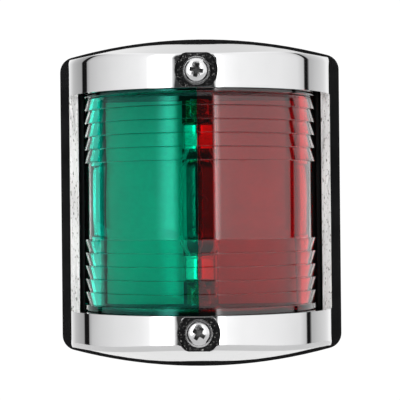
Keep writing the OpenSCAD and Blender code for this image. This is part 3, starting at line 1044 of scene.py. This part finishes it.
def build_grommet():
    """The rubber cable inlet, closed by a thin rubber skin that keeps light from showing through
    its bore: a dark sheet put in place of shade.
    """
    bore, wall, flange = GROMMET_BORE_R, GROMMET_R, GROMMET_FLANGE_R
    start, shoulder, front = GROMMET_START_D, GROMMET_SHOULDER_D, GROMMET_FRONT_D
    profile = [
        (0, SKIN_D), (bore - 0.1, SKIN_D), (bore, SKIN_D - 0.1),
        (bore, start + 0.3), (bore + 0.3, start), (wall - 0.2, start), (wall, start + 0.2),
        (wall, shoulder), (flange - 0.15, shoulder), (flange, shoulder + 0.15),
        (flange, front - 0.35), (flange - 0.12, front - 0.1), (flange - 0.4, front),
        (bore + 0.3, front), (bore, front - 0.3), (bore, SKIN_D + SKIN_T + 0.1),
        (bore - 0.1, SKIN_D + SKIN_T), (0, SKIN_D + SKIN_T),
    ]
    grommet = lathe("cable_grommet_ring", profile, point(0, 0, 0), "-Y", 56)
    smooth(grommet, 40)
    dress(grommet, "housing", "gasket_rubber", mat_rubber, "cable_grommet")


build_grommet()


# ---------------------------------------------------------------- studio

# The ramp holds shares of this level, because its colours stop at 1
PEAK = 6.0
OVERHEAD_LEVEL = 1.4
OVERHEAD_FROM = 0.55
OVERHEAD_TO = 0.85
BACKDROP_LEVEL = 1.05
# Brightness of the studio round the light, by degrees to the right of straight in front of it
STUDIO = (
    (-180, 0.75), (-166, 1.18), (-148, 0.87), (-142, 0.71), (-132, 0.6), (-122.5, 0.52),
    (-121.5, 0.012), (-113.5, 0.012), (-112.5, 0.56), (-108, 0.82), (-96, 0.98), (-78, 1.16),
    (-68, 1.23), (-52, 1.35), (-44, 1.5), (-33, 5.2), (-27, 5.2), (-20, 0.06), (15, 0.06),
    (17, 4.6), (22, 1.6), (36, 1.4), (76, 1.27), (96, 1.14), (104, 0.85), (105.5, 0.012),
    (110.5, 0.012), (112, 0.66), (122, 0.82), (140, 0.98), (152, 1.19), (179.9, 0.75),
)


def build_world():
    """A white studio: tall soft boxes round the light with dark gaps between them.

    The camera itself sees a plain white backdrop instead.
    """
    world = bpy.data.worlds.new("studio")
    bpy.context.scene.world = world
    world.use_nodes = True
    nodes, links = world.node_tree.nodes, world.node_tree.links
    nodes.clear()

    def math_node(operation, a, b=None):
        node = nodes.new("ShaderNodeMath")
        node.operation = operation
        for socket, value in zip(node.inputs, (a, b)):
            if value is None:
                continue
            if isinstance(value, (int, float)):
                socket.default_value = value
            else:
                links.new(value, socket)
        return node.outputs["Value"]

    split = nodes.new("ShaderNodeSeparateXYZ")
    links.new(nodes.new("ShaderNodeTexCoord").outputs["Generated"], split.inputs["Vector"])
    x, y, z = (split.outputs[a] for a in "XYZ")
    turn = math_node("ARCTAN2", x, math_node("MULTIPLY", y, -1))
    share = math_node("ADD", math_node("DIVIDE", turn, TAU), 0.5)
    stops = [(degrees / 360 + 0.5, (level / PEAK,) * 3) for degrees, level in STUDIO]
    ring = color_ramp(world.node_tree, share, stops)
    overhead = nodes.new("ShaderNodeMapRange")
    overhead.interpolation_type = "SMOOTHSTEP"
    links.new(math_node("ABSOLUTE", z), overhead.inputs["Value"])
    overhead.inputs["From Min"].default_value = OVERHEAD_FROM
    overhead.inputs["From Max"].default_value = OVERHEAD_TO
    blend = nodes.new("ShaderNodeMixRGB")
    links.new(overhead.outputs["Result"], blend.inputs["Fac"])
    links.new(ring, blend.inputs["Color1"])
    blend.inputs["Color2"].default_value = (*(OVERHEAD_LEVEL / PEAK,) * 3, 1)
    studio = nodes.new("ShaderNodeBackground")
    links.new(blend.outputs["Color"], studio.inputs["Color"])
    studio.inputs["Strength"].default_value = PEAK
    plain = nodes.new("ShaderNodeBackground")
    plain.inputs["Color"].default_value = (1, 1, 1, 1)
    plain.inputs["Strength"].default_value = BACKDROP_LEVEL
    choose = nodes.new("ShaderNodeMixShader")
    light_path = nodes.new("ShaderNodeLightPath")
    links.new(light_path.outputs["Is Camera Ray"], choose.inputs["Fac"])
    links.new(studio.outputs["Background"], choose.inputs[1])
    links.new(plain.outputs["Background"], choose.inputs[2])
    links.new(choose.outputs["Shader"], nodes.new("ShaderNodeOutputWorld").inputs["Surface"])


FLOOR_Z = -0.21
FLOOR_HALF = 1.1


def build_floor():
    """A pale floor well below the light."""
    h = FLOOR_HALF
    verts = [(-h, -h, FLOOR_Z), (h, -h, FLOOR_Z), (h, h, FLOOR_Z), (-h, h, FLOOR_Z)]
    floor = make_object("studio_floor", verts, [(0, 1, 2, 3)])
    m = moulded_finish("floor_pale", (0.7, 0.7, 0.7), 0.7, 0.05, 1.5, 0.02)
    m.tones(m.noise(60, 3), (0.69, 0.69, 0.69), (0.72, 0.72, 0.72))
    floor.data.materials.append(m.data)


CAMERA_DISTANCE = 430.0
CAMERA_RIGHT_DEG = 1.1
CAMERA_UP_DEG = -0.3
CAMERA_ROLL_DEG = 0.57
CAMERA_LENS = 147.05
CAMERA_SHIFT_X = -0.0021
CAMERA_SHIFT_Y = 0.0066


def build_camera():
    data = bpy.data.cameras.new("camera")
    data.lens = CAMERA_LENS
    data.sensor_width = 36
    data.clip_start = 0.01
    data.clip_end = 50
    camera = bpy.data.objects.new("camera", data)
    bpy.context.scene.collection.objects.link(camera)
    right, up = math.radians(CAMERA_RIGHT_DEG), math.radians(CAMERA_UP_DEG)
    across, ahead = math.sin(right) * math.cos(up), math.cos(right) * math.cos(up)
    back = Vector((across, -ahead, math.sin(up)))
    camera.location = back * CAMERA_DISTANCE * MM
    camera.rotation_mode = "QUATERNION"
    aim = (-back).to_track_quat("-Z", "Y")
    roll = Matrix.Rotation(math.radians(-CAMERA_ROLL_DEG), 3, "Z").to_quaternion()
    camera.rotation_quaternion = aim @ roll
    data.shift_x = CAMERA_SHIFT_X
    data.shift_y = CAMERA_SHIFT_Y
    bpy.context.scene.camera = camera


build_world()
build_floor()
build_camera()
bpy.context.scene.view_settings.view_transform = "Standard"
bpy.context.scene.view_settings.look = "None"
